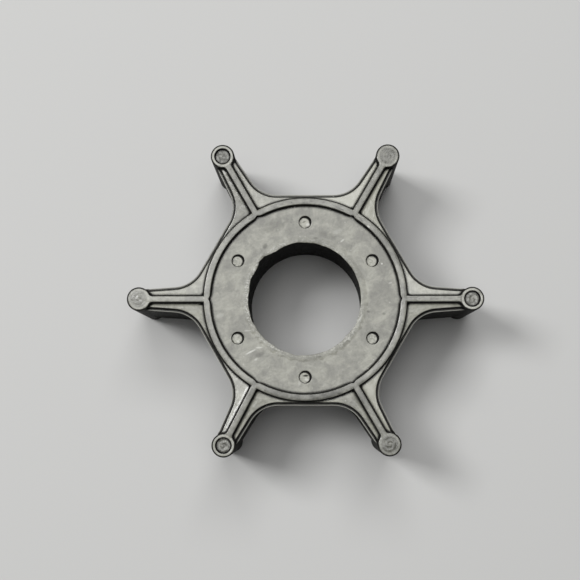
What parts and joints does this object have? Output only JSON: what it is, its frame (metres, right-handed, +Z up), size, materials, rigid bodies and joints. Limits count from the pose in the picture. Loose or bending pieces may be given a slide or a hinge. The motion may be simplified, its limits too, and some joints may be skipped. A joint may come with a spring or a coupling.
{
  "type": "flexible pump impeller",
  "caption": "Flexible rubber impeller for a raw-water pump: round hub with a through bore, slim vanes ending in round beads, raised sealing ribs on both end faces.",
  "frame": {"origin": "on the bore axis, in the plane of the underside's raised lands", "axes": "+Z up along the bore axis, towards the end face with the ejector dimples; +X along the middle of one vane"},
  "size_m": [0.057, 0.05, 0.022],
  "materials": {
    "black_rubber": "matt moulded rubber with a grey bloom on its end faces"
  },
  "bodies": {
    "root": {"impeller": "black_rubber"}
  },
  "joints": []
}
